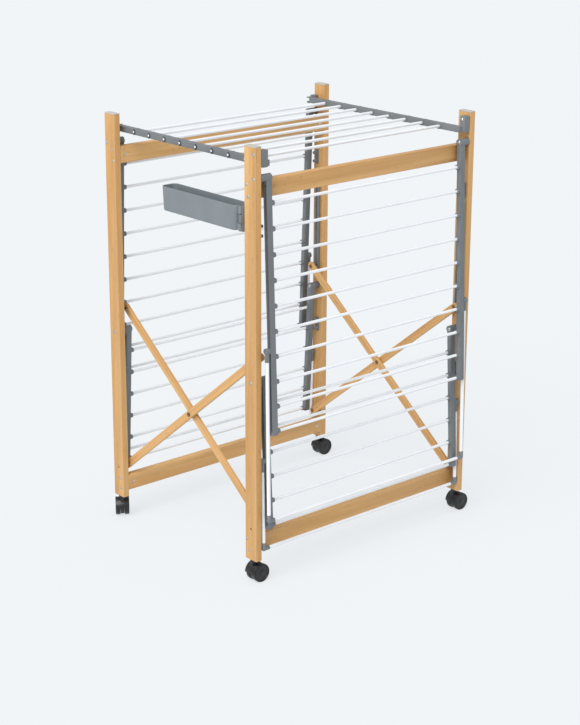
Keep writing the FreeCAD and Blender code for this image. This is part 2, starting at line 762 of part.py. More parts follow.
def makeTrayNodes():
    tubFeature, hollow, knuckles = makeTray()
    inside = add("Part::Feature", "TrayInside")
    inside.Shape = hollow
    setPlace(inside, "trayX", "trayNearY + trayLength / 2", "trayTopZ - trayTall")
    bore = cylinder("trayPinRadius + runningGap", "trayTopZ - trayTall - cutSpare", "trayTopZ + cutSpare",
                    "Z", "trayPivotX", "trayPivotY")
    finish("peg_tray", cut(fuse([tubFeature] + knuckles), [inside, bore]))
    low, high = "trayTopZ - 2 * trayTall / 3 + restGap", "trayTopZ - trayTall / 3 - restGap"
    plate = box("postThick + trayPivotOut", "bracketThick", "trayTall",
                "trayPivotX + (postThick + trayPivotOut) / 2", "-innerY + bracketThick / 2",
                "trayTopZ - trayTall / 2")
    web = box("2 * trayKnuckle", "trayPivotGap", f"({high}) - ({low})", "trayPivotX",
              "-innerY + trayPivotGap / 2", f"(({high}) + ({low})) / 2")
    barrel = cylinder("trayKnuckle", low, high, "Z", "trayPivotX", "trayPivotY")
    pin = cylinder("trayPinRadius", "trayTopZ - trayTall", "trayTopZ", "Z", "trayPivotX", "trayPivotY")
    finish("tray_bracket", fuse([plate, web, barrel, pin]))


casterTurns = {
    "near_left": 0,
    "near_right": 0,
    "far_left": 55,
    "far_right": 0,
}


def wheelDrum(radius, start, end, name="Round"):
    """A cylinder on a caster's wheel axis, before the caster is turned and placed."""
    return cylinder(radius, start, end, "Y", "wheelTrail", "0", "wheelRadius", name)


def makeWheel(way):
    """One wheel of a twin pair: a disc with a dished outer face, a hub and a bore."""
    near, far = "forkHalf", "forkHalf + wheelThick"
    start, end = (near, far) if way > 0 else (f"-({far})", f"-({near})")
    face = far if way > 0 else f"-({far})"
    disc = rounded(wheelDrum("wheelRadius", start, end), "Y", "wheelRound")
    dish = wheelDrum("wheelRadius * wheelDish", f"{face} - wheelDishDeep", f"{face} + wheelDishDeep")
    hub = wheelDrum("2 * axleRadius", start, end)
    bore = wheelDrum("axleRadius + runningGap", f"{start} - cutSpare", f"{end} + cutSpare")
    return cut(fuse([cut(disc, [dish]), hub]), [bore])


def makeFork():
    """A caster's body: a hood over the wheels, a web between them, a neck and the stem."""
    half = "forkHalf + wheelThick"
    crown = "casterHeight - flangeThick - postGap"
    shell = cut(wheelDrum("wheelRadius + hoodGap + hoodWall", f"-({half})", half),
                [wheelDrum("wheelRadius + hoodGap", f"-({half}) - cutSpare", f"({half}) + cutSpare")])
    keep = box("2 * wheelRadius + wheelTrail", f"2 * ({half})", "wheelRadius * hoodReach",
               "wheelTrail / 2 - wheelRadius", "0", "wheelRadius * hoodMiddle")
    hood = add("Part::Common", "Hood")
    hood.Base = shell
    hood.Tool = keep
    web = wheelDrum("wheelRadius - forkWebSet", "-forkThick / 2", "forkThick / 2")
    neck = box("2 * flangeRadius - neckSet", "forkThick", f"{crown} - wheelRadius", "0", "0",
               f"({crown} + wheelRadius) / 2")
    stem = cylinder("stemRadius", "casterHeight / 2", "casterHeight + stemLength", "Z")
    collar = cylinder("flangeRadius", f"{crown} - collarTall", crown, "Z")
    bore = wheelDrum("axleRadius + runningGap", "-wheelThick", "wheelThick")
    return cut(fuse([hood, web, neck, stem, collar]), [bore])


def makeCaster(frame, face, name, side):
    """One twin-wheel caster, trailing along its own x, turned about its stem."""
    reach = "(forkHalf + wheelThick - headThick)"
    pieces = {
        "fork": makeFork(),
        "axle": wheelDrum("axleRadius", f"-{reach}", reach),
        "wheels": group([makeWheel(way) for way in (1, -1)]),
    }
    for part, thing in pieces.items():
        holder = group([thing], "Turned")
        holder.Label = f"{frame}_{name}_caster_{part}"
        turn = Rotation(Vector(0, 0, 1), casterTurns[f"{frame}_{name}"])
        holder.Placement = FreeCAD.Placement(Vector(), turn)
        setPlace(holder, f"centreX + {side} * postX", f"{face} * postY", "0")
        nodes.append(holder)


for frame, face in frames:
    makePosts(frame, face)
    makeRails(frame, face)
    makePivotScrews(frame, face)
    makeChannels(frame, face)
    layer = "secondLayer" if face < 0 else "firstLayer"
    pins = [bracePin(side, layer, f"{face} * postY", "braceZ") for _, side in sides]
    finish(f"{frame}_brace_pins", group(pins))
    makeNotches(frame, face)
    makeCasterSockets(frame, face)
    for level in levels:
        makeWing(frame, face, level)
        makeStay(frame, face, level)
    for name, side in sides:
        makeCaster(frame, face, name, side)
makeBraces()
makePanel()
makeTrayNodes()

doc.recompute()
for thing in doc.Objects:
    if "Invalid" in thing.State or "Error" in thing.State:
        raise RuntimeError(f"{thing.Name} ({thing.Label}) failed: {thing.State}")
for thing in nodes:
    if thing.Shape.isNull() or not thing.Shape.isValid() or not thing.Shape.Solids:
        raise RuntimeError(f"{thing.Label} has no valid shape")

os.makedirs("parts", exist_ok=True)
for thing in nodes:
    thing.Shape.exportStep(os.path.join("parts", thing.Label + ".step"))
    print(thing.Label, len(thing.Shape.Solids), "solids", round(thing.Shape.Volume), "mm3")
print(len(nodes), "nodes")
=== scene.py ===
import json
import math

import bmesh
import bpy
from mathutils import Matrix, Vector

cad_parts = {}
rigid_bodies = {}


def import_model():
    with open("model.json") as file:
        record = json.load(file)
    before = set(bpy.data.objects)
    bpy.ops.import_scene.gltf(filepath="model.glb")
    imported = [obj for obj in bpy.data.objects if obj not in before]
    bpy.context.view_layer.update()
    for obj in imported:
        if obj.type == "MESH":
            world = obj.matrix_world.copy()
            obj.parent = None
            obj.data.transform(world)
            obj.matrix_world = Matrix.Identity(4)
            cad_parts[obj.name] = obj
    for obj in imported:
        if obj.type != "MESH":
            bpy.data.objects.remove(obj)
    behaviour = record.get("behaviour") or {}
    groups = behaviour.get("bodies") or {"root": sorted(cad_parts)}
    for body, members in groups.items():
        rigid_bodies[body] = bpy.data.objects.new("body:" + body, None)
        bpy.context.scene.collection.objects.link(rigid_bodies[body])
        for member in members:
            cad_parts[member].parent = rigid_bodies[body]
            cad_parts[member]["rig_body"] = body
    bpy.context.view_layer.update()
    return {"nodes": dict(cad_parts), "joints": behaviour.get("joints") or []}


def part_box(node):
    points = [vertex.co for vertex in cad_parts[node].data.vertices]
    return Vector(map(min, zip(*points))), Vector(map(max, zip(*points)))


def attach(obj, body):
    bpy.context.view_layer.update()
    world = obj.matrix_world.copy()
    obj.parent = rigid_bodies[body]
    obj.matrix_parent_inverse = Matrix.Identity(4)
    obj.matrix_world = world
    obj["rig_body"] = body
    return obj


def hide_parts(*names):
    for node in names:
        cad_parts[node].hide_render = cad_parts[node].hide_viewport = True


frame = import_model()

joints = {joint["name"]: joint for joint in frame["joints"]}
frameSides = {"near": -1, "far": 1}
rackEnds = {"left": -1, "right": 1}


def jointPlace(name):
    return Vector(joints[name]["pos_m"])


def boxMiddle(node):
    low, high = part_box(node)
    return (low + high) / 2


def newGroup(name, inputs, outputs):
    tree = bpy.data.node_groups.new(name, "ShaderNodeTree")
    for label, kind, default in inputs:
        socket = tree.interface.new_socket(label, in_out="INPUT", socket_type=kind)
        socket.default_value = default
    for label, kind in outputs:
        tree.interface.new_socket(label, in_out="OUTPUT", socket_type=kind)
    return tree, tree.nodes.new("NodeGroupInput"), tree.nodes.new("NodeGroupOutput")


def addNode(tree, kind, **settings):
    node = tree.nodes.new(kind)
    for key, setting in settings.items():
        if key in node.inputs:
            node.inputs[key].default_value = setting
        else:
            setattr(node, key, setting)
    return node


def stretchedNoise(tree, vector, stretch, detail, roughness=0.55, distortion=0.0):
    # noise drawn out along the grain: stretch gives the pattern's count per metre each way
    scaled = addNode(tree, "ShaderNodeVectorMath", operation="MULTIPLY")
    scaled.inputs[1].default_value = stretch
    tree.links.new(vector, scaled.inputs[0])
    noise = addNode(tree, "ShaderNodeTexNoise", Scale=1.0, Detail=detail, Roughness=roughness,
                    Distortion=distortion)
    tree.links.new(scaled.outputs[0], noise.inputs["Vector"])
    return noise.outputs["Fac"]


def remap(tree, value, low, high, toLow=0.0, toHigh=1.0):
    node = addNode(tree, "ShaderNodeMapRange", clamp=True)
    node.inputs["From Min"].default_value = low
    node.inputs["From Max"].default_value = high
    node.inputs["To Min"].default_value = toLow
    node.inputs["To Max"].default_value = toHigh
    tree.links.new(value, node.inputs["Value"])
    return node.outputs["Result"]


def mixColours(tree, factor, first, second, blend="MIX"):
    node = addNode(tree, "ShaderNodeMix", data_type="RGBA", blend_type=blend)
    sources = {0: factor, 6: first, 7: second}
    for index, source in sources.items():
        socket = node.inputs[index]
        if hasattr(source, "is_linked"):
            tree.links.new(source, socket)
        else:
            socket.default_value = source
    return node.outputs[2]


def sumOf(tree, parts):
    # a weighted sum of values
    total = None
    for value, weight in parts:
        node = addNode(tree, "ShaderNodeMath", operation="MULTIPLY_ADD")
        tree.links.new(value, node.inputs[0])
        node.inputs[1].default_value = weight
        node.inputs[2].default_value = 0.0
        if total is not None:
            tree.links.new(total, node.inputs[2])
        total = node.outputs[0]
    return total


beechGrain = {
    "bands": (34.0, 34.0, 1.6),      # broad growth bands, per metre, grain along the third axis
    "fibres": (420.0, 420.0, 7.0),   # fine fibres
    "flecks": (260.0, 260.0, 46.0),  # short dark rays
}


def makeBeechGroup():
    tree, start, end = newGroup(
        "beechGrain",
        [("Vector", "NodeSocketVector", (0, 0, 0)),
         ("Early Wood", "NodeSocketColor", (0.6, 0.4, 0.2, 1)),
         ("Late Wood", "NodeSocketColor", (0.4, 0.2, 0.1, 1)),
         ("Fleck", "NodeSocketColor", (0.3, 0.15, 0.07, 1))],
        [("Color", "NodeSocketColor"), ("Roughness", "NodeSocketFloat"), ("Height", "NodeSocketFloat")])
    vector = start.outputs["Vector"]
    bands = stretchedNoise(tree, vector, beechGrain["bands"], 3.0, 0.5, 0.35)
    fibres = stretchedNoise(tree, vector, beechGrain["fibres"], 4.0)
    flecks = stretchedNoise(tree, vector, beechGrain["flecks"], 2.0)
    figure = sumOf(tree, [(bands, 0.72), (fibres, 0.28)])
    mellow = mixColours(tree, remap(tree, figure, 0.34, 0.66), start.outputs["Late Wood"],
                        start.outputs["Early Wood"])
    marked = mixColours(tree, remap(tree, flecks, 0.63, 0.72, 0.0, 0.45), mellow, start.outputs["Fleck"])
    tree.links.new(marked, end.inputs["Color"])
    tree.links.new(remap(tree, fibres, 0.3, 0.7, 0.42, 0.56), end.inputs["Roughness"])
    tree.links.new(sumOf(tree, [(fibres, 0.7), (flecks, 0.3)]), end.inputs["Height"])
    return tree


mouldedGrain = {
    "clouds": (14.0, 14.0, 9.0),         # broad faint clouding, per metre
    "pits": (1500.0, 1500.0, 1500.0),    # the spark-eroded surface
}


def makeMouldedGroup():
    # moulded plastic: a spark-eroded surface, with broad faint clouding
    tree, start, end = newGroup(
        "mouldedGrain",
        [("Vector", "NodeSocketVector", (0, 0, 0)),
         ("Tint", "NodeSocketColor", (0.2, 0.2, 0.2, 1)),
         ("Cloud", "NodeSocketColor", (0.25, 0.25, 0.25, 1)),
         ("Smooth", "NodeSocketFloat", 0.4),
         ("Coarse", "NodeSocketFloat", 0.6)],
        [("Color", "NodeSocketColor"), ("Roughness", "NodeSocketFloat"), ("Height", "NodeSocketFloat")])
    vector = start.outputs["Vector"]
    clouds = stretchedNoise(tree, vector, mouldedGrain["clouds"], 3.0)
    pits = stretchedNoise(tree, vector, mouldedGrain["pits"], 2.0)
    tree.links.new(mixColours(tree, remap(tree, clouds, 0.35, 0.65), start.outputs["Tint"],
                              start.outputs["Cloud"]), end.inputs["Color"])
    rough = addNode(tree, "ShaderNodeMapRange", clamp=True)
    rough.inputs["From Min"].default_value = 0.3
    rough.inputs["From Max"].default_value = 0.7
    tree.links.new(pits, rough.inputs["Value"])
    tree.links.new(start.outputs["Smooth"], rough.inputs["To Min"])
    tree.links.new(start.outputs["Coarse"], rough.inputs["To Max"])
    tree.links.new(rough.outputs["Result"], end.inputs["Roughness"])
    tree.links.new(pits, end.inputs["Height"])
    return tree


platedSkin = {
    "patches": (180.0, 180.0, 180.0),      # dull patches, per metre
    "scratches": (2400.0, 300.0, 900.0),
}


def makePlateGroup():
    # plated or drawn metal: fine scratches and dull patches
    tree, start, end = newGroup(
        "platedSkin",
        [("Vector", "NodeSocketVector", (0, 0, 0)),
         ("Bright", "NodeSocketColor", (0.8, 0.8, 0.8, 1)),
         ("Dull", "NodeSocketColor", (0.5, 0.5, 0.5, 1))],
        [("Color", "NodeSocketColor"), ("Roughness", "NodeSocketFloat"), ("Height", "NodeSocketFloat")])
    vector = start.outputs["Vector"]
    patches = stretchedNoise(tree, vector, platedSkin["patches"], 3.0)
    scratches = stretchedNoise(tree, vector, platedSkin["scratches"], 2.0)
    tree.links.new(mixColours(tree, remap(tree, patches, 0.35, 0.7), start.outputs["Bright"],
                              start.outputs["Dull"]), end.inputs["Color"])
    tree.links.new(remap(tree, patches, 0.3, 0.7, 0.24, 0.44), end.inputs["Roughness"])
    tree.links.new(scratches, end.inputs["Height"])
    return tree


groups = {"beech": makeBeechGroup(), "moulded": makeMouldedGroup(), "plated": makePlateGroup()}


reliefDepth = 0.0002


def makeMaterial(name, group, values, turn=(0, 0, 0), shift=(0, 0, 0), bump=0.1, **shader):
    material = bpy.data.materials.new(name)
    material.use_nodes = True
    tree = material.node_tree
    principled = tree.nodes["Principled BSDF"]
    for key, setting in shader.items():
        principled.inputs[key].default_value = setting
    place = tree.nodes.new("ShaderNodeTexCoord")
    mapping = tree.nodes.new("ShaderNodeMapping")
    mapping.inputs["Rotation"].default_value = [math.radians(angle) for angle in turn]
    mapping.inputs["Location"].default_value = shift
    tree.links.new(place.outputs["Object"], mapping.inputs["Vector"])
    pattern = tree.nodes.new("ShaderNodeGroup")
    pattern.node_tree = groups[group]
    tree.links.new(mapping.outputs[0], pattern.inputs["Vector"])
    for key, setting in values.items():
        pattern.inputs[key].default_value = setting
    tree.links.new(pattern.outputs["Color"], principled.inputs["Base Color"])
    tree.links.new(pattern.outputs["Roughness"], principled.inputs["Roughness"])
    relief = tree.nodes.new("ShaderNodeBump")
    relief.inputs["Strength"].default_value = bump
    relief.inputs["Distance"].default_value = reliefDepth
    tree.links.new(pattern.outputs["Height"], relief.inputs["Height"])
    tree.links.new(relief.outputs["Normal"], principled.inputs["Normal"])
    return material


beechTones = {
    "Early Wood": (0.690, 0.412, 0.160, 1),
    "Late Wood": (0.505, 0.262, 0.086, 1),
    "Fleck": (0.290, 0.130, 0.040, 1),
}
greyTones = {
    "Tint": (0.145, 0.157, 0.165, 1),
    "Cloud": (0.175, 0.188, 0.197, 1),
    "Smooth": 0.42,
    "Coarse": 0.58,
}
trayTones = {
    "Tint": (0.182, 0.205, 0.220, 1),
    "Cloud": (0.205, 0.228, 0.243, 1),
    "Smooth": 0.40,
    "Coarse": 0.52,
}
blackTones = {
    "Tint": (0.006, 0.0065, 0.007, 1),
    "Cloud": (0.012, 0.0125, 0.013, 1),
    "Smooth": 0.28,
    "Coarse": 0.40,
}
whiteTones = {
    "Tint": (0.830, 0.850, 0.870, 1),
    "Cloud": (0.790, 0.812, 0.836, 1),
    "Smooth": 0.28,
    "Coarse": 0.36,
}
capTones = {
    "Tint": (0.520, 0.490, 0.440, 1),
    "Cloud": (0.450, 0.420, 0.370, 1),
    "Smooth": 0.50,
    "Coarse": 0.64,
}
zincTones = {"Bright": (0.62, 0.62, 0.61, 1), "Dull": (0.40, 0.40, 0.39, 1)}
bronzeTones = {"Bright": (0.30, 0.20, 0.11, 1), "Dull": (0.13, 0.08, 0.05, 1)}
braceAngle = 38.4

materials = {
    "beechUpright": makeMaterial("beechUpright", "beech", beechTones, bump=0.22),
    "beechRail": makeMaterial("beechRail", "beech", beechTones, turn=(0, 90, 0),
                              shift=(0.3, 0.1, 0), bump=0.22),
    "beechRising": makeMaterial("beechRising", "beech", beechTones,
                                turn=(90 - braceAngle, 0, 0), bump=0.22),
    "beechFalling": makeMaterial("beechFalling", "beech", beechTones,
                                 turn=(braceAngle - 90, 0, 0), bump=0.22),
    "greyPlastic": makeMaterial("greyPlastic", "moulded", greyTones, bump=0.16),
    "trayPlastic": makeMaterial("trayPlastic", "moulded", trayTones, bump=0.12),
    "blackPlastic": makeMaterial("blackPlastic", "moulded", blackTones, bump=0.14),
    "whiteCoat": makeMaterial("whiteCoat", "moulded", whiteTones, bump=0.05),
    "capPlastic": makeMaterial("capPlastic", "moulded", capTones, bump=0.12),
    "zincPlate": makeMaterial("zincPlate", "plated", zincTones, bump=0.05, Metallic=1.0),
    "bronzePlate": makeMaterial("bronzePlate", "plated", bronzeTones, bump=0.06, Metallic=1.0),
}
print("materials:", len(materials))


def settle(mesh, name):
    piece = bpy.data.objects.new(name, mesh)
    bpy.context.scene.collection.objects.link(piece)
    return piece


def applyModifiers(piece):
    graph = bpy.context.evaluated_depsgraph_get()
    mesh = bpy.data.meshes.new_from_object(piece.evaluated_get(graph))
    piece.modifiers.clear()
    piece.data = mesh
    return piece


def smoothByAngle(mesh, angle=32):
    mesh.polygons.foreach_set("use_smooth", [True] * len(mesh.polygons))
    mesh.set_sharp_from_angle(angle=math.radians(angle))


def finishPiece(piece, body, slot, *nodes):
    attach(piece, body)
    if nodes:
        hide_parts(*nodes)
    return piece


def easedCopy(node, name, material, slot, width=0.0004, steps=2):
    # a copy of a node with its sharp edges rounded over
    source = frame["nodes"][node]
    mesh = source.data.copy()
    mesh.name = name
    form = bmesh.new()
    form.from_mesh(mesh)
    bmesh.ops.remove_doubles(form, verts=form.verts, dist=2e-6)
    bmesh.ops.dissolve_limit(form, angle_limit=math.radians(0.4), verts=form.verts, edges=form.edges)
    form.to_mesh(mesh)
    form.free()
    mesh.materials.clear()
    mesh.materials.append(materials[material])
    piece = settle(mesh, name)
    if width:
        bevel = piece.modifiers.new("ease", "BEVEL")
        bevel.width = width
        bevel.segments = steps
        bevel.limit_method = "ANGLE"
        bevel.angle_limit = math.radians(34)
        bevel.use_clamp_overlap = True
        bevel.harden_normals = False
        applyModifiers(piece)
    smoothByAngle(piece.data)
    return finishPiece(piece, source["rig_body"], slot, node)


for frameName in frameSides:
    for endName in rackEnds:
        easedCopy(f"{frameName}_{endName}_post", f"{frameName}_{endName}_upright", "beechUpright",
                  "beech", 0.0005)
    for level in ("top", "bottom"):
        easedCopy(f"{frameName}_{level}_rail", f"{frameName}_{level}_crossrail", "beechRail", "beech",
                  0.0005)
    easedCopy(f"{frameName}_post_caps", f"{frameName}_end_caps", "capPlastic", "cap", 0.0006)
    easedCopy(f"{frameName}_brace_channels", f"{frameName}_slide_channels", "greyPlastic",
              "grey_plastic")
    easedCopy(f"{frameName}_peg_plates", f"{frameName}_peg_brackets", "greyPlastic",
              "grey_plastic", 0.0006)
    for level in ("upper", "lower"):
        wing = f"{frameName}_{level}_wing"
        stay = f"{frameName}_{level}_stay"
        easedCopy(f"{wing}_arms", f"{wing}_side_arms", "greyPlastic", "grey_plastic", 0.0006)
        easedCopy(f"{stay}_tubes", f"{stay}_frame", "whiteCoat", "white_tube", 0)
        easedCopy(f"{stay}_fittings", f"{stay}_clips", "greyPlastic", "grey_plastic", 0.0005)
easedCopy("rising_brace_slats", "rising_brace_pair", "beechRising", "beech", 0.0006)
easedCopy("falling_brace_slats", "falling_brace_pair", "beechFalling", "beech", 0.0006)
easedCopy("panel_arms", "panel_side_arms", "greyPlastic", "grey_plastic", 0.0006)
easedCopy("tray_bracket", "tray_hinge_plate", "greyPlastic", "grey_plastic", 0.0005)
print("frame, braces, arms and fittings: done")


rodRow = {
    "radius": 0.00375,
    "sides": 28,
    "panelCount": 8,
}


def newGeometryTree(name, inputs):
    tree = bpy.data.node_groups.new(name, "GeometryNodeTree")
    tree.interface.new_socket("Geometry", in_out="INPUT", socket_type="NodeSocketGeometry")
    for label, kind in inputs:
        tree.interface.new_socket(label, in_out="INPUT", socket_type=kind)
    tree.interface.new_socket("Geometry", in_out="OUTPUT", socket_type="NodeSocketGeometry")
    tree.is_modifier = True
    return tree, tree.nodes.new("NodeGroupInput"), tree.nodes.new("NodeGroupOutput")


def endTree(tree, start, end, instances):
    real = tree.nodes.new("GeometryNodeRealizeInstances")
    paint = tree.nodes.new("GeometryNodeSetMaterial")
    tree.links.new(instances, real.inputs[0])
    tree.links.new(real.outputs[0], paint.inputs["Geometry"])
    tree.links.new(start.outputs["Material"], paint.inputs["Material"])
    tree.links.new(paint.outputs[0], end.inputs[0])


def runTree(tree, name, values, mesh=None):
    piece = settle(mesh or bpy.data.meshes.new(name), name)
    modifier = piece.modifiers.new("make", "NODES")
    modifier.node_group = tree
    for item in tree.interface.items_tree:
        if item.in_out == "INPUT" and item.name in values:
            modifier[item.identifier] = values[item.name]
    applyModifiers(piece)
    piece.data.name = name
    return piece


def makeRodTree():
    # equal rods along X, spaced evenly between two points
    tree, start, end = newGeometryTree("rodRow", [
        ("First", "NodeSocketVector"), ("Last", "NodeSocketVector"), ("Count", "NodeSocketInt"),
        ("Radius", "NodeSocketFloat"), ("Length", "NodeSocketFloat"), ("Sides", "NodeSocketInt"),
        ("Material", "NodeSocketMaterial")])
    line = tree.nodes.new("GeometryNodeMeshLine")
    line.mode = "END_POINTS"
    tree.links.new(start.outputs["Count"], line.inputs["Count"])
    tree.links.new(start.outputs["First"], line.inputs["Start Location"])
    tree.links.new(start.outputs["Last"], line.inputs["Offset"])
    rod = tree.nodes.new("GeometryNodeMeshCylinder")
    tree.links.new(start.outputs["Sides"], rod.inputs["Vertices"])
    tree.links.new(start.outputs["Radius"], rod.inputs["Radius"])
    tree.links.new(start.outputs["Length"], rod.inputs["Depth"])
    smooth = tree.nodes.new("GeometryNodeSetShadeSmooth")
    tree.links.new(rod.outputs["Mesh"], smooth.inputs[0])
    place = tree.nodes.new("GeometryNodeInstanceOnPoints")
    place.inputs["Rotation"].default_value = (0, math.radians(90), 0)
    tree.links.new(line.outputs[0], place.inputs["Points"])
    tree.links.new(smooth.outputs[0], place.inputs["Instance"])
    endTree(tree, start, end, place.outputs[0])
    return tree


rodTree = makeRodTree()


def layRods(node, name, count, first, last):
    low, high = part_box(node)
    piece = runTree(rodTree, name, {
        "First": first, "Last": last, "Count": count, "Radius": rodRow["radius"],
        "Length": high.x - low.x, "Sides": rodRow["sides"], "Material": materials["whiteCoat"]})
    smoothByAngle(piece.data)
    return finishPiece(piece, frame["nodes"][node]["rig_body"], "white_tube", node)


wingRods = {"upper": 10, "lower": 6}
for frameName, face in frameSides.items():
    for level, count in wingRods.items():
        node = f"{frameName}_{level}_wing_rods"
        low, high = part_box(node)
        radius = rodRow["radius"]
        inner = (high.y if face < 0 else low.y) + face * radius
        outer = (low.y if face < 0 else high.y) - face * radius
        middle = (low.x + high.x) / 2
        layRods(node, f"{frameName}_{level}_wing_rails", count, (middle, inner, high.z - radius),
                (middle, outer, low.z + radius))
low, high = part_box("panel_rods")
middle = (low + high) / 2
layRods("panel_rods", "panel_rails", rodRow["panelCount"], (middle.x, low.y + radius, middle.z),
        (middle.x, high.y - radius, middle.z))


rodEnds = {
    "faceX": 0.3257,
    "proud": 0.0004,
    "radius": 0.0026,
    # inner, outer, begin, sweep and segments size the black half ring, painted shade for the gap round
    # each rod end
    "inner": 0.0034,
    "outer": 0.0072,
    "begin": 85.0,
    "sweep": 190.0,
    "segments": 18,
    "sides": 24,
}


def makeRodEnds():
    # each panel rod's end shows on the arm's outer face, with a black half ring on its near side:
    # painted shade for the shadowed gap round the rod in its hole
    form, gapShade = bmesh.new(), bmesh.new()
    low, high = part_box("panel_rods")
    pitch = (high.y - low.y - 2 * rodRow["radius"]) / (rodRow["panelCount"] - 1)
    middleX, height = (low.x + high.x) / 2, (low.z + high.z) / 2
    radius = rodEnds["radius"]
    for side in rackEnds.values():
        face = side * rodEnds["faceX"]
        for i in range(rodRow["panelCount"]):
            place = Matrix.Translation((middleX + face, low.y + rodRow["radius"] + pitch * i, height))
            lift = side * rodEnds["proud"]
            lathe(form, [(0, 0), (0, radius), (lift, radius), (lift, 0)],
                  rodEnds["sides"], place)
            # a black half ring proud of the face: painted shade where the gap round the rod lies in
            # shadow
            lathe(gapShade, [(0, rodEnds["inner"]), (0, rodEnds["outer"]), (lift, rodEnds["outer"]),
                          (lift, rodEnds["inner"]), (0, rodEnds["inner"])], rodEnds["segments"], place,
                  rodEnds["sweep"], rodEnds["begin"])
    ends = settle(meshFrom(form, "panel_rod_ends", "whiteCoat"), "panel_rod_ends")
    finishPiece(ends, "top_panel", "white_tube")
    # the painted shade half rings, in black plastic
    dark = settle(meshFrom(gapShade, "panel_rod_gap_shade", "blackPlastic"), "panel_rod_gap_shade")
    finishPiece(dark, "top_panel", "black_plastic")


crossHead = {
    "crown": 0.0015,
    "recess": 0.0011,
    "slot": 0.0009,
    "segments": 28,
    "rings": 12,
}


def lathe(form, profile, segments, matrix=None, sweep=360.0, begin=0.0):
    # turn a profile of (along, radius) points about X; a point on the axis closes an end
    closed = abs(sweep - 360.0) < 1e-6
    count = segments if closed else segments + 1
    rings = []
    for along, radius in profile:
        if radius < 1e-9:
            rings.append([form.verts.new((along, 0, 0))])
            continue
        ring = []
        for k in range(count):
            turn = math.radians(begin + sweep * k / segments)
            ring.append(form.verts.new((along, radius * math.cos(turn), radius * math.sin(turn))))
        rings.append(ring)
    faces = []
    for a, b in zip(rings, rings[1:]):
        for k in range(segments):
            n = (k + 1) % count
            corners = [a[k % len(a)], a[n % len(a)], b[n % len(b)], b[k % len(b)]]
            corners = list(dict.fromkeys(corners))
            if len(corners) > 2:
                faces.append(form.faces.new(corners))
    if matrix is not None:
        bmesh.ops.transform(form, matrix=matrix, verts=[v for ring in rings for v in ring])
    return faces


def meshFrom(form, name, material):
    bmesh.ops.recalc_face_normals(form, faces=form.faces)
    mesh = bpy.data.meshes.new(name)
    form.to_mesh(mesh)
    form.free()
    mesh.materials.append(materials[material])
    return mesh


def arcPoints(centreAlong, centreRadius, radius, fromAngle, toAngle, steps):
    # points of an arc in a profile's plane, angles from the along axis
    points = []
    for k in range(steps + 1):
        turn = math.radians(fromAngle + (toAngle - fromAngle) * k / steps)
        points.append((centreAlong + radius * math.cos(turn), centreRadius + radius * math.sin(turn)))
    return points


def makeHeadTree():
    # pan heads with a cross recess, one on each vertex, facing along the Way input
    tree, start, end = newGeometryTree("crossHeads", [
        ("Radius", "NodeSocketFloat"), ("Crown", "NodeSocketFloat"), ("Slot", "NodeSocketFloat"),
        ("Recess", "NodeSocketFloat"), ("Way", "NodeSocketFloat"), ("Material", "NodeSocketMaterial")])
    ball = tree.nodes.new("GeometryNodeMeshUVSphere")
    ball.inputs["Segments"].default_value = crossHead["segments"]
    ball.inputs["Rings"].default_value = crossHead["rings"]
    ball.inputs["Radius"].default_value = 1.0
    size = tree.nodes.new("ShaderNodeCombineXYZ")
    for source, axis in (("Crown", "Z"), ("Radius", "X"), ("Radius", "Y")):
        tree.links.new(start.outputs[source], size.inputs[axis])
    dome = tree.nodes.new("GeometryNodeTransform")
    tree.links.new(ball.outputs["Mesh"], dome.inputs["Geometry"])
    tree.links.new(size.outputs[0], dome.inputs["Scale"])
    cutter = tree.nodes.new("GeometryNodeMeshBoolean")
    cutter.operation = "DIFFERENCE"
    cutter.solver = "EXACT"
    tree.links.new(dome.outputs[0], cutter.inputs["Mesh 1"])
    for long, short in (("X", "Y"), ("Y", "X")):
        bar = tree.nodes.new("GeometryNodeMeshCube")
        barSize = tree.nodes.new("ShaderNodeCombineXYZ")
        tree.links.new(start.outputs["Radius"], barSize.inputs[long])
        tree.links.new(start.outputs["Slot"], barSize.inputs[short])
        tree.links.new(start.outputs["Recess"], barSize.inputs["Z"])
        tree.links.new(barSize.outputs[0], bar.inputs["Size"])
        lift = tree.nodes.new("GeometryNodeTransform")
        raised = tree.nodes.new("ShaderNodeCombineXYZ")
        tree.links.new(start.outputs["Crown"], raised.inputs["Z"])
        tree.links.new(bar.outputs["Mesh"], lift.inputs["Geometry"])
        tree.links.new(raised.outputs[0], lift.inputs["Translation"])
        tree.links.new(lift.outputs[0], cutter.inputs["Mesh 2"])
    turn = tree.nodes.new("ShaderNodeMath")
    turn.operation = "MULTIPLY"
    turn.inputs[1].default_value = math.radians(90)
    tree.links.new(start.outputs["Way"], turn.inputs[0])
    facing = tree.nodes.new("ShaderNodeCombineXYZ")
    tree.links.new(turn.outputs[0], facing.inputs["Y"])
    place = tree.nodes.new("GeometryNodeInstanceOnPoints")
    tree.links.new(start.outputs["Geometry"], place.inputs["Points"])
    tree.links.new(cutter.outputs[0], place.inputs["Instance"])
    tree.links.new(facing.outputs[0], place.inputs["Rotation"])
    endTree(tree, start, end, place.outputs[0])
    return tree


headTree = makeHeadTree()


def pointMesh(name, points):
    mesh = bpy.data.meshes.new(name)
    mesh.from_pydata([tuple(p) for p in points], [], [])
    return mesh


def screwHeads(name, points, way, radius, material="zincPlate"):
    piece = runTree(headTree, name, {
        "Radius": radius, "Crown": crossHead["crown"], "Slot": crossHead["slot"],
        "Recess": crossHead["recess"], "Way": float(way), "Material": materials[material]},
        pointMesh(name, points))
    smoothByAngle(piece.data, 40)
    return piece


